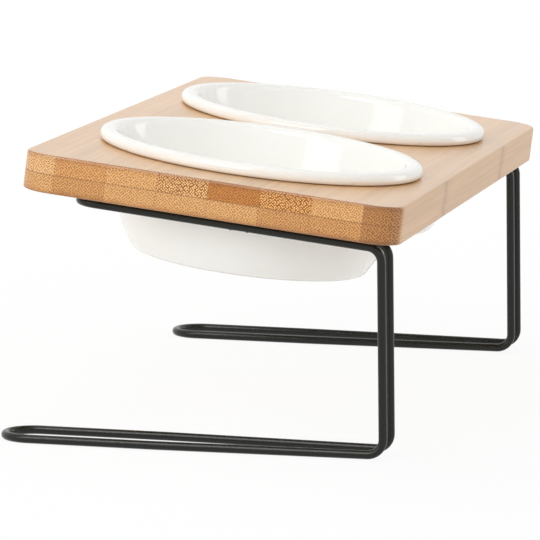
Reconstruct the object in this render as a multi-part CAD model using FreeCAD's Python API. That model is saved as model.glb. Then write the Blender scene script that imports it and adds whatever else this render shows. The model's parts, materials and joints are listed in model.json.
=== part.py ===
import FreeCAD, Part
import math
import os
from FreeCAD import Placement, Rotation, Vector

# A raised twin pet feeder: two glazed bowls hang by their rims in a tilted bamboo board, which two bent
# wire frames carry. Millimetres and degrees. X runs from the board's high edge to its low edge, where the
# legs stand, Y along the board from the near end to the far end, Z up from the floor. The origin lies on
# the floor, under the middle of the whole stand.

# Bowls, with the seat plane under the rim as their zero height
bowl_body_diameter = 120.0
bowl_body_depth = 41.5
bowl_wall = 3.0
bowl_floor = 5.0
bowl_flare = 12.0
bowl_wall_arc_radius = 71.5
bowl_base_radius = 2.5
bowl_floor_radius = 14.0
rim_overhang = 4.65
rim_height = 4.7
rim_lower_radius = 1.7
rim_land = 0.3
rim_inner_radius = 3.0
foot_ring_width = 5.0
foot_ring_depth = 1.2
seat_clearance = 0.2

# Bamboo board, laid out round the two bowl holes: the wood between them and out to the ends and edges
hole_clearance = 1.75
hole_spacing = 23.4
end_margin = 24.8
side_margin = 13.25
board_thickness = 15.0
board_tilt = 6.4
board_corner_radius = 12.0
board_edge_radius = 1.0
# How far each loose bowl has slid down the slope, as a share of its clearance in the hole
near_slip_share = 0.85
far_slip_share = 0.25

# Bamboo strips, counted from the high edge: the strips between the two edge strips share the rest
strip_count = 8
edge_strip_width = 14.1
ply_count = 2

# Wire frames: the two wires of a frame keep one pitch on the leg and top bar, and spread at the foot's tip
wire_diameter = 3.4
wire_bend_radius = 6.0
wire_pitch = 15.3
foot_pitch = 22.6
foot_bend_radius = 60.0
foot_overhang = 6.5
leg_height = 83.1
leg_setback = 4.4
leg_lean = 1.6
top_bar_setback = 22.7
frame_end_inset = 0.6
frame_gap = 0.2
# The share of the foot, counted from the leg, over which its two wires draw together
converge_share = 0.64

# Tabs welded between the wires of each top bar, under the middle of this strip from each edge of the board
tab_strip = 3
tab_length = 16.0
tab_thickness = 2.0
weld_gap = 0.05

# Countersunk wood screws through the tabs
screw_length = 12.0
screw_diameter = 3.0
screw_head_diameter = 6.4
screw_head_land = 0.2
screw_tip_length = 3.0
screw_recess_span = 3.4
screw_recess_width = 0.9
screw_recess_depth = 1.1
screw_clearance = 0.1

# How far a cutter runs past what it cuts, and how near two points are the same
overrun = 5.0
same_point = 0.001

UP = Vector(0, 0, 1)
ALONG = Vector(0, 1, 0)

tilt = math.radians(board_tilt)
lean = math.radians(leg_lean)
flare = math.radians(bowl_flare)
wire_radius = wire_diameter / 2
bowl_body_radius = bowl_body_diameter / 2
rim_radius = bowl_body_radius + rim_overhang
rim_upper_radius = rim_height - rim_lower_radius - rim_land
hole_radius = bowl_body_radius + hole_clearance
bowl_pitch = 2 * hole_radius + hole_spacing
board_length = bowl_pitch + 2 * (hole_radius + end_margin)
board_width = 2 * (hole_radius + side_margin)
strip_width = (board_width - 2 * edge_strip_width) / (strip_count - 2)
screw_radius = screw_diameter / 2
screw_head_radius = screw_head_diameter / 2

# The place of the leg's lower end centres the stand over the origin: the foot's tip is the lowest X, and the
# rounded upper edge at the board's low side is the highest
edge_reach = (board_thickness - board_edge_radius) * math.sin(tilt)
edge_reach += board_edge_radius * (1 - math.cos(tilt))
foot_reach = board_width * math.cos(tilt) - leg_setback + foot_overhang
leg_x = (foot_reach + wire_radius - leg_setback - edge_reach) / 2

# The board's own frame has its zero in the middle of the underside, with x down the slope and z square to it
board_x = leg_x + leg_setback - board_width / 2 * math.cos(tilt)
board_z = leg_height + (leg_x - board_x) * math.tan(tilt)
ON_BOARD = Placement(Vector(board_x, 0, board_z), Rotation(ALONG, board_tilt))

# The top bar's axis lies this far under the board, and meets the leg's axis at bar_leg in the board's frame.
# The leg leans from its lower end towards the board's high edge
bar_drop = wire_radius + frame_gap
leg_rise = board_z - bar_drop * math.cos(tilt) - wire_radius
bar_leg = leg_x - board_x + bar_drop * math.sin(tilt) - leg_rise * math.tan(lean)
bar_leg /= math.cos(tilt) - math.sin(tilt) * math.tan(lean)
bar_tip = top_bar_setback - board_width / 2
foot_converge = converge_share * (foot_reach - foot_pitch / 2)

frame_offset = board_length / 2 - frame_end_inset - wire_radius - foot_pitch / 2
tab_offset = board_width / 2 - edge_strip_width - (tab_strip - 1.5) * strip_width
SIDES = {"near": -1, "far": 1}
SLIP_SHARES = {"near": near_slip_share, "far": far_slip_share}
TAB_PLACES = {"high": -tab_offset, "low": tab_offset}


def placed(shape, placement):
    """A copy of a shape, moved by a placement."""
    copy = shape.copy()
    copy.Placement = placement.multiply(copy.Placement)
    return copy


def line(start, end):
    return Part.LineSegment(start, end).toShape()


def arc(start, middle, end):
    return Part.Arc(start, middle, end).toShape()


def on_circle(centre, radius, angle):
    """The point of a circle in the XZ plane at an angle from +X."""
    return centre + Vector(radius * math.cos(angle), 0, radius * math.sin(angle))


def arc_about(centre, radius, start_angle, end_angle):
    """An arc in the XZ plane about a centre."""
    angles = (start_angle, (start_angle + end_angle) / 2, end_angle)
    return arc(*(on_circle(centre, radius, angle) for angle in angles))


def turned(edges):
    """The solid that a closed outline in the XZ plane makes when it turns about Z."""
    face = Part.Face(Part.Wire(edges))
    return face.revolve(Vector(0, 0, 0), UP, 360)


def beside_inner_wall(height, offset):
    """The point at a height that lies this far outside a bowl's inner wall, or inside it if negative."""
    wall = bowl_body_radius - bowl_wall + height * math.tan(flare)
    return Vector(wall + offset / math.cos(flare), 0, height)


def bowl():
    """A bowl with a thick rolled rim, turned about its own axis with the seat plane at zero."""
    base = -bowl_body_depth
    inside = base + bowl_floor
    recess = base + foot_ring_depth
    down = -math.pi / 2
    outer_low = Vector(rim_radius - rim_lower_radius, 0, rim_lower_radius)
    outer_high = Vector(rim_radius - rim_upper_radius, 0, rim_height - rim_upper_radius)
    inner_high = beside_inner_wall(rim_height - rim_inner_radius, rim_inner_radius)
    inner_low = beside_inner_wall(inside + bowl_floor_radius, -bowl_floor_radius)

    # The wall's outer arc starts upright at the seat plane, and a small arc joins it to the base
    wall_centre = Vector(bowl_body_radius - bowl_wall_arc_radius, 0, 0)
    base_height = base + bowl_base_radius
    base_reach = math.sqrt((bowl_wall_arc_radius - bowl_base_radius) ** 2 - base_height ** 2)
    base_arc = Vector(wall_centre.x + base_reach, 0, base_height)
    base_meet = math.atan2(base_height, base_reach)
    ring_inner = base_arc.x - foot_ring_width

    under = [
        line(Vector(0, 0, recess), Vector(ring_inner - foot_ring_depth, 0, recess)),
        line(Vector(ring_inner - foot_ring_depth, 0, recess), Vector(ring_inner, 0, base)),
        line(Vector(ring_inner, 0, base), Vector(base_arc.x, 0, base)),
        arc_about(base_arc, bowl_base_radius, down, base_meet),
        arc_about(wall_centre, bowl_wall_arc_radius, base_meet, 0),
    ]
    rim = [
        line(Vector(bowl_body_radius, 0, 0), Vector(outer_low.x, 0, 0)),
        arc_about(outer_low, rim_lower_radius, down, 0),
        line(Vector(rim_radius, 0, outer_low.z), Vector(rim_radius, 0, outer_high.z)),
        arc_about(outer_high, rim_upper_radius, 0, math.pi / 2),
        line(Vector(outer_high.x, 0, rim_height), Vector(inner_high.x, 0, rim_height)),
        arc_about(inner_high, rim_inner_radius, math.pi / 2, math.pi - flare),
    ]
    lip = on_circle(inner_high, rim_inner_radius, math.pi - flare)
    inner = [
        line(lip, on_circle(inner_low, bowl_floor_radius, -flare)),
        arc_about(inner_low, bowl_floor_radius, -flare, down),
        line(Vector(inner_low.x, 0, inside), Vector(0, 0, inside)),
        line(Vector(0, 0, inside), Vector(0, 0, recess)),
    ]
    return turned(under + rim + inner)


def bowl_place(side_name):
    """Where a bowl's seat plane lies on the board."""
    slip = SLIP_SHARES[side_name] * hole_clearance
    seat = Vector(slip, SIDES[side_name] * bowl_pitch / 2, board_thickness + seat_clearance)
    return ON_BOARD.multiply(Placement(seat, Rotation()))


def rounded_path(points, radii):
    """A wire of straight runs through points, with a tangent arc of its own radius at each inner point."""
    edges = []
    run_start = points[0]
    for before, corner, after, radius in zip(points, points[1:], points[2:], radii):
        arriving = (corner - before).normalize()
        leaving = (after - corner).normalize()
        half_turn = arriving.getAngle(leaving) / 2
        tangent = radius * math.tan(half_turn)
        inward = (leaving - arriving).normalize()
        arc_start = corner - arriving * tangent
        arc_end = corner + leaving * tangent
        arc_middle = corner + inward * (radius / math.cos(half_turn) - radius)
        if not run_start.isEqual(arc_start, same_point):
            edges.append(line(run_start, arc_start))
        edges.append(arc(arc_start, arc_middle, arc_end))
        run_start = arc_end
    if not run_start.isEqual(points[-1], same_point):
        edges.append(line(run_start, points[-1]))
    return Part.Wire(edges)


def wire_frame():
    """One closed loop of wire bent to a C, about its own middle plane."""
    at_tip = foot_pitch / 2
    at_leg = wire_pitch / 2
    tip_x = leg_x - foot_reach
    # One half of the loop, from the middle of the foot's hairpin to the middle of the top bar's
    foot = [
        Vector(tip_x, 0, wire_radius),
        Vector(tip_x, -at_tip, wire_radius),
        Vector(leg_x - foot_converge, -at_tip, wire_radius),
        Vector(leg_x, -at_leg, wire_radius),
    ]
    top_bar = [
        Vector(bar_leg, -at_leg, -bar_drop),
        Vector(bar_tip, -at_leg, -bar_drop),
        Vector(bar_tip, 0, -bar_drop),
    ]
    points = foot + [ON_BOARD.multVec(point) for point in top_bar]
    path = rounded_path(points, [at_tip, foot_bend_radius, wire_bend_radius, wire_bend_radius, at_leg])
    section = Part.Wire(Part.Circle(points[0], ALONG, wire_radius).toShape())
    half = path.makePipeShell([section], True, False)
    print("wire in one frame: %.1f mm" % (2 * path.Length))
    return half.fuse(half.mirror(Vector(0, 0, 0), ALONG)).removeSplitter().Solids[0]


def frame_place(side):
    return Placement(Vector(0, side * frame_offset, 0), Rotation())


def screw(clearance):
    """A countersunk screw about Z, its head's flat face at zero and its point up."""
    head = screw_head_radius + clearance
    shank = screw_radius + clearance
    cone_top = screw_head_land + head - shank
    end = screw_length + clearance
    outline = [
        Vector(0, 0, 0),
        Vector(head, 0, 0),
        Vector(head, 0, screw_head_land),
        Vector(shank, 0, cone_top),
        Vector(shank, 0, end - screw_tip_length),
        Vector(0, 0, end),
    ]
    return turned([line(a, b) for a, b in zip(outline, outline[1:] + outline[:1])])


def recessed_screw():
    """The screw with its cross recess."""
    solid = screw(0)
    for span, width in ((screw_recess_span, screw_recess_width), (screw_recess_width, screw_recess_span)):
        slot = Part.makeBox(span, width, screw_recess_depth + overrun)
        slot.translate(Vector(-span / 2, -width / 2, -overrun))
        solid = solid.cut(slot)
    return solid


def screw_place(side, u):
    """Where a screw's head lies, flush with the underside of its tab."""
    head = Vector(u, side * frame_offset, -frame_gap - tab_thickness)
    return ON_BOARD.multiply(Placement(head, Rotation()))


def tab(side, u, hole):
    """A countersunk plate between the two wires of a top bar."""
    width = wire_pitch - wire_diameter - 2 * weld_gap
    plate = Part.makeBox(tab_length, width, tab_thickness)
    plate.translate(Vector(u - tab_length / 2, side * frame_offset - width / 2, -frame_gap - tab_thickness))
    return placed(plate, ON_BOARD).cut(hole)


def board():
    """The whole board in its own frame: rounded corners, eased edges and the two bowl holes."""
    blank = Part.makeBox(board_width, board_length, board_thickness)
    blank.translate(Vector(-board_width / 2, -board_length / 2, 0))
    upright = [edge for edge in blank.Edges if edge.BoundBox.ZLength > edge.BoundBox.DiagonalLength / 2]
    blank = blank.makeFillet(board_corner_radius, upright)
    around = [edge for edge in blank.Edges if edge.BoundBox.ZLength < edge.BoundBox.DiagonalLength / 2]
    blank = blank.makeFillet(board_edge_radius, around)
    for side in SIDES.values():
        foot = Vector(0, side * bowl_pitch / 2, -overrun)
        blank = blank.cut(Part.makeCylinder(hole_radius, board_thickness + 2 * overrun, foot))
    return placed(blank, ON_BOARD)


def strip_edges():
    """The places of the glue joints across the board, with its two edges."""
    first = edge_strip_width - board_width / 2
    joints = [first + number * strip_width for number in range(strip_count - 1)]
    return [-board_width / 2] + joints + [board_width / 2]


def strips(whole):
    """The board cut into its strips, ply by ply: name and shape."""
    ply = board_thickness / ply_count
    edges = strip_edges()
    for level, name in enumerate(("bottom", "top")):
        for number, (low, high) in enumerate(zip(edges, edges[1:]), 1):
            slab = Part.makeBox(high - low, board_length, ply)
            slab.translate(Vector(low, -board_length / 2, level * ply))
            yield "%s_strip_%d" % (name, number), whole.common(placed(slab, ON_BOARD))


def build():
    """Every piece of the stand, by name."""
    pieces = {}
    one_bowl = bowl()
    one_frame = wire_frame()
    one_screw = recessed_screw()
    screw_room = screw(screw_clearance)
    whole = board()
    for side_name, side in SIDES.items():
        pieces[side_name + "_bowl"] = placed(one_bowl, bowl_place(side_name))
        pieces[side_name + "_frame"] = placed(one_frame, frame_place(side))
        screws = []
        for tab_name, u in TAB_PLACES.items():
            hole = placed(screw_room, screw_place(side, u))
            pieces["%s_frame_%s_tab" % (side_name, tab_name)] = tab(side, u, hole)
            whole = whole.cut(hole)
            screws.append(placed(one_screw, screw_place(side, u)))
        pieces[side_name + "_frame_screws"] = Part.makeCompound(screws)
    pieces.update(strips(whole))
    return pieces


os.makedirs("parts", exist_ok=True)
for node, shape in build().items():
    print("%-24s solids %d volume %.1f valid %s" % (node, len(shape.Solids), shape.Volume, shape.isValid()))
    shape.exportStep("parts/%s.step" % node)
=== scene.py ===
import bmesh
import bpy
import json
import math
from mathutils import Euler, Matrix, Vector


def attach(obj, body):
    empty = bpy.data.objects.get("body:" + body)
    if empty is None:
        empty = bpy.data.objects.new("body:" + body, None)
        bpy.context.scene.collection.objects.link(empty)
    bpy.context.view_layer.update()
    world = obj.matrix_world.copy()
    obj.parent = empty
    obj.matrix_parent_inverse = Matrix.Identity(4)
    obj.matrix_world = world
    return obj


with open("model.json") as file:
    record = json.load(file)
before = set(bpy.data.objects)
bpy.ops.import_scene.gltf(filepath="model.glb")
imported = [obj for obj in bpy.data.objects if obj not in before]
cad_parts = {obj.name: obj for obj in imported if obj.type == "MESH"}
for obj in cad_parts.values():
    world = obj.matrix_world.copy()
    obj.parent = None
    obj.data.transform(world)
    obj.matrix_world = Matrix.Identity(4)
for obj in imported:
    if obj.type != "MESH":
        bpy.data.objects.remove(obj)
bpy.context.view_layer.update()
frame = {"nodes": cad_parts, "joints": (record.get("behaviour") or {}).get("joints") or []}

# The looks of a raised twin pet feeder: a strip bamboo board, glazed bowls and black wire frames. The studio
# is in metres in the part's own frame, and what is on a surface is in millimetres. Colours are display values
# of 0 to 255. A pair of values that goes to a step says where something starts to show, and where it is full.
MM = 0.001
PER_METRE = 1000.0

# Camera, with its turn from +Y towards -X, its drop below level and its roll, in degrees
IMAGE_SIZE = 540
FOCAL_PIXELS = 5443.5
SENSOR_MM = 36.0
CAMERA_PLACE = Vector((0.4589, -2.1762, 0.3488))
CAMERA_TURN = 12.03
CAMERA_DROP = 7.64
CAMERA_ROLL = 0.93

# Studio: even light all round, and soft boxes as (place, width, height, watts), aimed at AIM. Only some boxes
# show in gloss, and the glint does nothing else.
AIM = Vector((0.0, 0.0, 0.08))
AMBIENT = 0.57
SOFT_BOXES = {
    "key": (Vector((-1.2, 0.75, 0.95)), 0.9, 0.9, 8.0),
    "window": (Vector((-1.07, -1.32, 0.62)), 1.0, 0.5, 2.8),
    "left": (Vector((-1.3, -1.1, 0.4)), 0.8, 0.6, 2.4),
    "front": (Vector((0.8, -1.8, 0.65)), 1.4, 0.8, 8.0),
    "upper": (Vector((-0.36, -1.44, 1.5)), 1.0, 0.5, 4.4),
    "glint": (Vector((-0.36, -1.44, 1.5)), 1.2, 1.0, 28.0),
    "top": (Vector((0.1, 0.2, 1.8)), 1.0, 1.0, 3.0),
    "strip": (Vector((1.01, 0.82, 0.33)), 0.32, 0.66, 1.1),
}
MIRRORED = ("window", "upper", "glint", "top", "strip")
GLOSS_ONLY = ("glint",)
OVAL = ("window",)

# White floor: the share of its shading that is seen, and how far from the origin this starts to fade and is
# gone
FLOOR_HALF = 15.0
FLOOR_WHITE = (252, 252, 251)
FLOOR_SHADE_SHARE = 0.12
SHADE_REACH = (0.25, 0.8)

# Bamboo end grain: the ground colour, the fibre bundles in it, how far apart these lie, and how wide they are
# as a share of that
TONES = {
    "straw": ((230, 181, 123), (150, 86, 26), 0.9, 0.27),
    "honey": ((222, 168, 105), (138, 73, 4), 0.9, 0.27),
    "wheat": ((216, 164, 103), (146, 80, 6), 0.9, 0.27),
    "amber": ((214, 155, 90), (128, 65, 4), 0.9, 0.27),
    "ochre": ((206, 149, 85), (124, 63, 2), 0.9, 0.27),
    "russet": ((195, 123, 44), (93, 42, 3), 0.84, 0.27),
    "flecked": ((134, 74, 8), (252, 201, 132), 0.84, 0.36),
    "tawny": ((132, 67, 4), (249, 187, 105), 0.82, 0.36),
    # A brown tone darkened with painted shade, for the last strip of each ply, whose end turns away from the
    # light round the board's rounded corner
    "shaded_umber": ((185, 126, 65), (88, 44, 4), 0.9, 0.28),
}
# Each ply's last strip takes the brown tone with painted corner shade
TOP_TONES = ("straw", "amber", "honey", "flecked", "russet", "tawny", "honey", "shaded_umber")
BOTTOM_TONES = ("wheat", "ochre", "wheat", "wheat", "wheat", "ochre", "ochre", "shaded_umber")
STRIP_COUNT = len(TOP_TONES)

# How the bundles lie: the turn of their rows, how far they stray from these, and how soft their edge is. They
# and the dark skin are weak in some patches and strong in others.
ROW_TURN = math.radians(45)
BUNDLE_STRAY = 0.45
BUNDLE_EDGE = 0.16
SKIN_DEPTH = 3.0
PATCH_WAVES = (0.18, 0.02, 0.3)
BUNDLE_SHARES = (0.6, 1.3)
SKIN_SHARES = (0.0, 0.8)

# Bamboo long grain: its two colours, how light each strip is, the step that sets each strip's noise apart,
# and the waves of noise per millimetre across a strip, along it and through it
LONG_LIGHT = (226, 181, 128)
LONG_DARK = (206, 159, 108)
STRIP_SHADES = (1.0, 0.98, 1.0, 0.97, 0.95, 0.98, 1.0, 0.97)
SEED_STEP = Vector((37.0, 911.0, 53.0))
BAND_WAVES = (0.16, 0.004, 0.16)
STREAK_WAVES = (2.1, 0.014, 2.1)
PORE_WAVES = (5.0, 0.05, 5.0)
BAND_WEIGHT = 0.4
STREAK_WEIGHT = 0.6
DARK_GRAIN = (0.66, 0.34)
DARK_PORES = (0.66, 0.8)
PORE_SHARE = 0.5
STREAK_RELIEF = 0.6
PORE_RELIEF = 0.4
GRAIN_DEPTH = 0.08

# Knuckles: places along the board for each strip, how far the lower ply's are shifted, how far a line
# wanders, and how wide and how plain the broken line and the stain round it are
KNUCKLE = (160, 108, 70)
KNUCKLES = ((-118, 16), (-70, 62), (-34, 98), (-128, 4), (-88, 46), (-16, 116), (-104, 28), (-55, 77))
PLY_SHIFT = 61.0
KNUCKLE_WANDER = 12.0
WANDER_WAVES = (0.3, 0.0, 0.3)
BREAK_WAVES = (0.5, 0.1, 0.5)
BREAK_SHARES = (0.1, 1.0)
LINE_REACH = (4.0, 0.4)
LINE_SHARE = 0.6
STAIN_REACH = (14.0, 0.0)
STAIN_SHARE = 0.22
FLAT_KNUCKLE_SHARE = 0.15

# Faces of a strip: how squarely the flat ones face up, the ends along the board, and the eased edges between
FLAT_FACING = (0.5, 0.9)
END_FACING = (0.15, 0.4)
EASED_FACING_UP = ((0.1, 0.5), (0.98, 0.8))
EASED_FACING_END = (0.1, 0.4)
EASED_SHARE = 0.4

# Glue and varnish: how far from a joint the glue shows and how plainly, and the weight of the varnish coat
GLUE = (140, 88, 48)
PLY_GLUE_REACH = (0.4, 0.1)
PLY_GLUE_SHARE = 0.55
STRIP_GLUE_REACH = (0.25, 0.05)
STRIP_GLUE_SHARE = 0.35
LONG_GLUE_SHARE = 0.3
SIDE_VARNISH = 0.19
TOP_VARNISH = 0.52
VARNISH_ROUGHNESS = 0.15
WOOD_ROUGHNESS = (0.34, 0.5)

# Bowls: the glaze, its faint clouds and ripples, and the bare clay with its height above the foot
GLAZE_WHITES = ((247, 246, 241), (250, 249, 245))
GLAZE_ROUGHNESS = (0.05, 0.11)
GLAZE_CLOUD_WAVES = (0.05, 0.05, 0.05)
RIPPLE_WAVES = (0.11, 0.11, 0.11)
RIPPLE_DEPTH = 0.12
CLAY = (214, 204, 188)
CLAY_RISE = (0.45, 0.3)
CLAY_ADDED_ROUGHNESS = 0.6

# Wire coat and screws
COAT_BLACKS = ((11, 13, 6), (19, 21, 12))
COAT_CLOUD_WAVES = (0.06, 0.06, 0.06)
COAT_ROUGHNESS = (0.2, 0.3)
COAT_SPECULAR = 0.36
PEEL_WAVES = (1.6, 1.6, 1.6)
PEEL_DEPTH = 0.05
ZINC_GREYS = ((168, 170, 168), (206, 206, 200))
ZINC_ROUGHNESS = (0.28, 0.45)

# Weld beads that close each wire loop under the board: places from the high edge, the size of a bead, and how
# far below the board the top bar lies at most
WELDS = (84.3, 90.8)
WELD_RADIUS = 1.98
WELD_HALF_LENGTH = 0.7
BAR_DEPTH = 4.0

# The board's own directions: square to it, along it and down its slope
UP = Vector(frame["joints"][0]["axis"]).normalized()
ALONG = Vector((0.0, 1.0, 0.0))
DOWN_SLOPE = ALONG.cross(UP)
TILT = math.atan2(UP.x, UP.z)


def strip_name(ply, number):
    return "%s_strip_%d" % (ply, number)


def span(node, direction):
    """The least and the greatest place of a node's points along a direction."""
    places = [direction.dot(vertex.co) for vertex in frame["nodes"][node].data.vertices]
    return min(places), max(places)


HIGH_EDGE = span(strip_name("top", 1), DOWN_SLOPE)[0]
UNDERSIDE = span(strip_name("bottom", 1), UP)[0]


def colour(rgb, shade=1.0):
    """A linear colour from display values, made lighter or darker by a factor."""
    def linear(value):
        share = value * shade / 255
        return share / 12.92 if share <= 0.04045 else ((share + 0.055) / 1.055) ** 2.4
    return [linear(value) for value in rgb] + [1.0]


class Paint:
    """The nodes of a material or of the world. Most calls add a node or a few, and give an output."""

    def __init__(self, tree):
        self.tree = tree
        self.tree.nodes.clear()

    def add(self, kind, inputs, **settings):
        node = self.tree.nodes.new("ShaderNode" + kind)
        for name, value in settings.items():
            setattr(node, name, value)
        for key, value in inputs.items():
            if isinstance(value, bpy.types.NodeSocket):
                self.tree.links.new(value, node.inputs[key])
            else:
                node.inputs[key].default_value = value
        return node

    def math(self, operation, *values):
        return self.add("Math", dict(enumerate(values)), operation=operation).outputs[0]

    def times(self, first, second):
        return self.math("MULTIPLY", first, second)

    def weighed(self, first, first_weight, second, second_weight):
        """The sum of two values, each times its weight."""
        return self.math("MULTIPLY_ADD", first, first_weight, self.times(second, second_weight))

    def step(self, value, low, high):
        """A smooth rise from 0 at low to 1 at high."""
        limits = {"Value": value, "From Min": low, "From Max": high}
        return self.add("MapRange", limits, interpolation_type="SMOOTHSTEP").outputs[0]

    def scaled(self, value, low, high):
        """A share of 0 to 1 turned into a value from low to high."""
        return self.add("MapRange", {"Value": value, "To Min": low, "To Max": high}).outputs[0]

    def nearest(self, value, places):
        """How far a value lies from the nearest of some places."""
        gaps = [self.math("ABSOLUTE", self.math("SUBTRACT", value, place)) for place in places]
        least = gaps[0]
        for gap in gaps[1:]:
            least = self.math("MINIMUM", least, gap)
        return least

    def mix(self, share, first, second):
        """A mix of two colours, which are sockets 6 and 7 of the node."""
        inputs = {0: share, 6: first, 7: second}
        return self.add("Mix", inputs, data_type="RGBA").outputs[2]

    def moved(self, place, move, scale=(1, 1, 1), turn=(0, 0, 0)):
        inputs = {"Vector": place, "Location": move, "Scale": scale, "Rotation": turn}
        return self.add("Mapping", inputs).outputs[0]

    def parts(self, vector):
        return self.add("SeparateXYZ", {0: vector}).outputs

    def noise(self, place, scale, detail=2.0):
        """Noise with its own number of waves per unit of length along each axis."""
        waves = self.moved(place, (0, 0, 0), scale)
        return self.add("TexNoise", {"Vector": waves, "Scale": 1.0, "Detail": detail}).outputs[0]

    def object_place(self):
        return self.add("TexCoord", {}).outputs["Object"]

    def normal(self):
        return self.add("TexCoord", {}).outputs["Normal"]

    def tilted(self, vector, move=(0, 0, 0), scale=1.0):
        """A vector of the part's frame in the board's own directions."""
        return self.moved(vector, move, (scale,) * 3, (0.0, -TILT, 0.0))

    def bump(self, height, depth):
        return self.add("Bump", {"Height": height, "Distance": depth * MM}).outputs[0]

    def surface(self, **inputs):
        """Joins values for the shader's sockets to the output."""
        named = {key.replace("_", " "): value for key, value in inputs.items()}
        shader = self.add("BsdfPrincipled", named)
        self.add("OutputMaterial", {"Surface": shader.outputs[0]})


def material(name):
    """A new material and the paint for its nodes."""
    made = bpy.data.materials.new(name)
    made.use_nodes = True
    return made, Paint(made.node_tree)


def knuckles(paint, own, along, ply, number):
    """How plain a knuckle is: an uneven line across the strip, with a stain round it."""
    shift = PLY_SHIFT if ply == "bottom" and number < STRIP_COUNT else 0.0
    wave = paint.noise(own, WANDER_WAVES, detail=4.0)
    travel = paint.math("MULTIPLY_ADD", wave, KNUCKLE_WANDER, along)
    away = paint.nearest(travel, [place + shift for place in KNUCKLES[number - 1]])
    breaks = paint.scaled(paint.noise(own, BREAK_WAVES, detail=3.0), *BREAK_SHARES)
    line = paint.times(paint.step(away, *LINE_REACH), breaks)
    return paint.weighed(line, LINE_SHARE, paint.step(away, *STAIN_REACH), STAIN_SHARE)


def long_grain(paint, own, along, flat, ply, number):
    """Colour and relief of bamboo along its fibres: broad bands, fine streaks, short pores and knuckles."""
    bands = paint.noise(own, BAND_WAVES)
    streaks = paint.noise(own, STREAK_WAVES, detail=4.0)
    pores = paint.noise(own, PORE_WAVES)
    light, dark = (colour(tone, STRIP_SHADES[number - 1]) for tone in (LONG_LIGHT, LONG_DARK))
    brown = colour(KNUCKLE)
    grain = paint.weighed(bands, BAND_WEIGHT, streaks, STREAK_WEIGHT)
    wood = paint.mix(paint.step(grain, *DARK_GRAIN), light, dark)
    wood = paint.mix(paint.times(paint.step(pores, *DARK_PORES), PORE_SHARE), wood, brown)

    # The knuckles are plainest on the board's sides
    share = paint.scaled(flat, 1.0, FLAT_KNUCKLE_SHARE)
    wood = paint.mix(paint.times(knuckles(paint, own, along, ply, number), share), wood, brown)
    return wood, paint.weighed(streaks, STREAK_RELIEF, pores, PORE_RELIEF)


def end_grain(paint, own, depth, tone):
    """Colour of bamboo across its fibres: rows of bundles, set cornerwise, and darker near the skin."""
    ground, bundle, spacing, width = TONES[tone]
    cells = paint.moved(own, (0, 0, 0), (1 / spacing,) * 3, (0.0, ROW_TURN, 0.0))
    across, _, up = paint.parts(cells)
    flat = paint.add("CombineXYZ", {0: across, 1: up}).outputs[0]
    settings = {"Vector": flat, "Scale": 1.0, "Randomness": BUNDLE_STRAY}
    away = paint.add("TexVoronoi", settings, voronoi_dimensions="2D").outputs["Distance"]
    patch = paint.noise(own, PATCH_WAVES, detail=3.0)
    spot = paint.step(away, width + BUNDLE_EDGE, width - BUNDLE_EDGE)
    spot = paint.times(spot, paint.scaled(patch, *BUNDLE_SHARES))
    wood = paint.mix(spot, colour(ground), colour(bundle))
    skin = paint.times(paint.step(depth, SKIN_DEPTH, 0.0), paint.scaled(patch, *SKIN_SHARES))
    return paint.mix(skin, wood, colour(min(ground, bundle, key=sum)))


def glue_lines(paint, node, number, down, height, core):
    """How plain the glue is between the plies, and at the joints, of which an edge strip has only one."""
    edges = [(edge - HIGH_EDGE) * PER_METRE for edge in span(node, DOWN_SLOPE)]
    joints = [edge for edge, edge_strip in zip(edges, (1, STRIP_COUNT)) if number != edge_strip]
    plies = paint.times(paint.step(paint.nearest(height, [core]), *PLY_GLUE_REACH), PLY_GLUE_SHARE)
    strips = paint.times(paint.step(paint.nearest(down, joints), *STRIP_GLUE_REACH), STRIP_GLUE_SHARE)
    return paint.math("MAXIMUM", plies, strips)


def bamboo(ply, number, tone):
    """One varnished bamboo strip, with dark glue at its joints."""
    node = strip_name(ply, number)
    made, paint = material("bamboo_" + node)
    start = (-HIGH_EDGE * PER_METRE, 0.0, -UNDERSIDE * PER_METRE)
    place = paint.tilted(paint.object_place(), start, PER_METRE)
    own = paint.moved(place, SEED_STEP * (number + STRIP_COUNT * (ply == "top")))
    down, along, height = paint.parts(place)
    facing = paint.parts(paint.tilted(paint.normal()))
    _, end_on, up = (paint.math("ABSOLUTE", part) for part in facing)
    flat = paint.step(up, *FLAT_FACING)
    end = paint.step(end_on, *END_FACING)

    # The bamboo's outer skin faces away from the glue between the plies
    low, high = ((value - UNDERSIDE) * PER_METRE for value in span(node, UP))
    skin, core = (high, low) if ply == "top" else (low, high)
    long_colour, relief = long_grain(paint, own, along, flat, ply, number)
    end_colour = end_grain(paint, own, paint.nearest(height, [skin]), tone)
    wood = paint.mix(end, long_colour, end_colour)

    # End grain drinks more finish at the eased edges
    eased = paint.times(*(paint.step(up, *limits) for limits in EASED_FACING_UP))
    eased = paint.times(eased, paint.step(end_on, *EASED_FACING_END))
    wood = paint.mix(paint.times(eased, EASED_SHARE), wood, colour(KNUCKLE))

    # Glue is plainest on the end grain
    seam = glue_lines(paint, node, number, down, height, core)
    wood = paint.mix(paint.times(seam, paint.scaled(end, LONG_GLUE_SHARE, 1.0)), wood, colour(GLUE))
    paint.surface(
        Base_Color=wood,
        Roughness=paint.scaled(relief, *WOOD_ROUGHNESS),
        Normal=paint.bump(relief, GRAIN_DEPTH),
        Coat_Weight=paint.scaled(flat, SIDE_VARNISH, TOP_VARNISH),
        Coat_Roughness=VARNISH_ROUGHNESS,
    )
    return made


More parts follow.
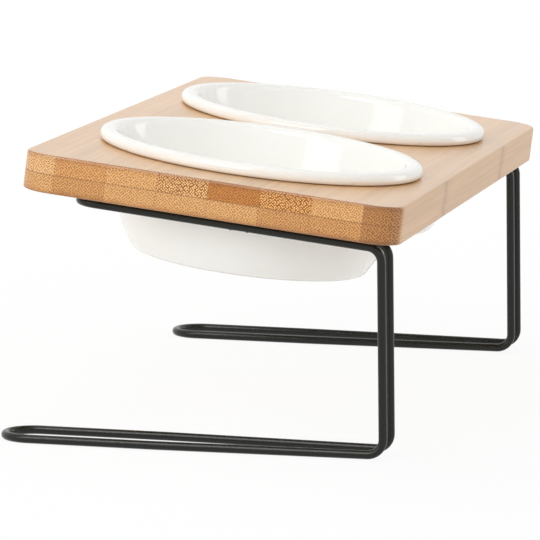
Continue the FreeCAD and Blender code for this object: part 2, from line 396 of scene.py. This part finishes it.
def glaze(node):
    """White glossy glaze over the bowl, with bare clay on its foot ring."""
    made, paint = material("glaze_" + node)
    own = paint.tilted(paint.object_place(), scale=PER_METRE)
    height = paint.parts(own)[2]
    foot = span(node, UP)[0] * PER_METRE
    clay = paint.step(height, *(foot + rise for rise in CLAY_RISE))
    cloud = paint.noise(own, GLAZE_CLOUD_WAVES, detail=3.0)
    white = paint.mix(cloud, *(colour(tone) for tone in GLAZE_WHITES))
    ripple = paint.noise(own, RIPPLE_WAVES)
    smooth = paint.scaled(cloud, *GLAZE_ROUGHNESS)
    paint.surface(
        Base_Color=paint.mix(clay, white, colour(CLAY)),
        Roughness=paint.math("MULTIPLY_ADD", clay, CLAY_ADDED_ROUGHNESS, smooth),
        Normal=paint.bump(ripple, RIPPLE_DEPTH),
    )
    return made


def black_coat():
    """Satin black powder coat with a fine orange peel."""
    made, paint = material("black_coat")
    own = paint.moved(paint.object_place(), (0, 0, 0), (PER_METRE,) * 3)
    peel = paint.noise(own, PEEL_WAVES, detail=3.0)
    cloud = paint.noise(own, COAT_CLOUD_WAVES, detail=3.0)
    paint.surface(
        Base_Color=paint.mix(cloud, *(colour(tone) for tone in COAT_BLACKS)),
        Roughness=paint.scaled(peel, *COAT_ROUGHNESS),
        Specular_IOR_Level=COAT_SPECULAR,
        Normal=paint.bump(peel, PEEL_DEPTH),
    )
    return made


def screw_zinc():
    """Bright zinc plate, a little clouded."""
    made, paint = material("screw_zinc")
    cloud = paint.noise(paint.object_place(), (PER_METRE,) * 3, detail=4.0)
    paint.surface(
        Base_Color=paint.mix(cloud, *(colour(tone) for tone in ZINC_GREYS)),
        Metallic=1.0,
        Roughness=paint.scaled(cloud, *ZINC_ROUGHNESS),
    )
    return made


def welds(side, outward, coat):
    """Small beads round the outer wire of a top bar, right under the board."""
    points = [vertex.co for vertex in frame["nodes"][side + "_frame"].data.vertices]
    bar = [outward * point.y for point in points if UP.dot(point) > UNDERSIDE - BAR_DEPTH * MM]
    outer = outward * (max(bar) - WELD_RADIUS * MM)
    turn = Matrix((DOWN_SLOPE, ALONG, UP)).transposed().to_4x4()
    size = Matrix.Diagonal((WELD_HALF_LENGTH * MM, WELD_RADIUS * MM, WELD_RADIUS * MM, 1.0))
    shape = bmesh.new()
    for place in WELDS:
        centre = Vector((HIGH_EDGE + place * MM, outer, UNDERSIDE - WELD_RADIUS * MM))
        bead = turn @ Matrix.Translation(centre) @ size
        bmesh.ops.create_uvsphere(shape, u_segments=24, v_segments=16, radius=1.0, matrix=bead)
    mesh = bpy.data.meshes.new(side + "_frame_weld")
    shape.to_mesh(mesh)
    shape.free()
    mesh.shade_smooth()
    mesh.materials.append(coat)
    piece = bpy.data.objects.new(side + "_frame_weld", mesh)
    bpy.context.scene.collection.objects.link(piece)
    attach(piece, "stand")


def dress(node, look):
    """Gives a node its material in place of the plain one that it came with."""
    frame["nodes"][node].material_slots[0].material = look


def dress_part():
    for ply, tones in (("top", TOP_TONES), ("bottom", BOTTOM_TONES)):
        for number, tone in enumerate(tones, 1):
            dress(strip_name(ply, number), bamboo(ply, number, tone))
    coat = black_coat()
    zinc = screw_zinc()
    for side, outward in (("near", -1), ("far", 1)):
        welds(side, outward, coat)
        dress(side + "_bowl", glaze(side + "_bowl"))
        for piece in ("frame", "frame_high_tab", "frame_low_tab"):
            dress("%s_%s" % (side, piece), coat)
        dress(side + "_frame_screws", zinc)


def seen_white(paint):
    """1 for a ray that shows the surroundings to the eye or in a gloss, 0 for one that lights the part."""
    ray = paint.add("LightPath", {}).outputs
    shown = paint.math("MAXIMUM", ray["Is Camera Ray"], ray["Is Glossy Ray"])
    return paint.math("MAXIMUM", shown, ray["Is Transmission Ray"])


def floor():
    """A white floor that keeps a little of the part's shadow."""
    corners = [(x * FLOOR_HALF, y * FLOOR_HALF, 0.0) for x, y in ((-1, -1), (1, -1), (1, 1), (-1, 1))]
    mesh = bpy.data.meshes.new("floor")
    mesh.from_pydata(corners, [], [(0, 1, 2, 3)])
    sheet = bpy.data.objects.new("floor", mesh)
    bpy.context.scene.collection.objects.link(sheet)
    made, paint = material("floor")
    matt = paint.add("BsdfDiffuse", {"Color": colour(FLOOR_WHITE)}).outputs[0]
    white = paint.add("Emission", {"Strength": 1.0}).outputs[0]
    away = paint.add("VectorMath", {0: paint.object_place()}, operation="LENGTH").outputs["Value"]
    plain = paint.scaled(paint.step(away, *SHADE_REACH), 1 - FLOOR_SHADE_SHARE, 1.0)
    share = paint.times(seen_white(paint), plain)
    mixed = paint.add("MixShader", {0: share, 1: matt, 2: white}).outputs[0]
    paint.add("OutputMaterial", {"Surface": mixed})
    mesh.materials.append(made)


def surroundings():
    """Even white light all round, full white where it is seen."""
    world = bpy.data.worlds.new("studio")
    world.use_nodes = True
    bpy.context.scene.world = world
    paint = Paint(world.node_tree)
    strength = paint.scaled(seen_white(paint), AMBIENT, 1.0)
    white = paint.add("Background", {"Strength": strength, "Color": (1, 1, 1, 1)}).outputs[0]
    paint.add("OutputWorld", {"Surface": white})


def soft_box(name, place, width, height, watts):
    lamp = bpy.data.lights.new(name, "AREA")
    lamp.shape = "ELLIPSE" if name in OVAL else "RECTANGLE"
    lamp.size = width
    lamp.size_y = height
    lamp.energy = watts
    box = bpy.data.objects.new(name, lamp)
    box.location = place
    box.rotation_euler = (AIM - place).to_track_quat("-Z", "Y").to_euler()
    box.visible_glossy = name in MIRRORED
    box.visible_diffuse = name not in GLOSS_ONLY
    bpy.context.scene.collection.objects.link(box)


def camera():
    lens = bpy.data.cameras.new("camera")
    lens.sensor_width = SENSOR_MM
    lens.lens = FOCAL_PIXELS * SENSOR_MM / IMAGE_SIZE
    eye = bpy.data.objects.new("camera", lens)
    level = Euler((math.radians(90 - CAMERA_DROP), 0.0, math.radians(CAMERA_TURN))).to_matrix()
    rolled = level @ Matrix.Rotation(math.radians(CAMERA_ROLL), 3, "Z")
    eye.matrix_world = Matrix.Translation(CAMERA_PLACE) @ rolled.to_4x4()
    bpy.context.scene.collection.objects.link(eye)
    bpy.context.scene.camera = eye


dress_part()
floor()
surroundings()
for name, box in SOFT_BOXES.items():
    soft_box(name, *box)
camera()
bpy.context.scene.view_settings.view_transform = "Standard"
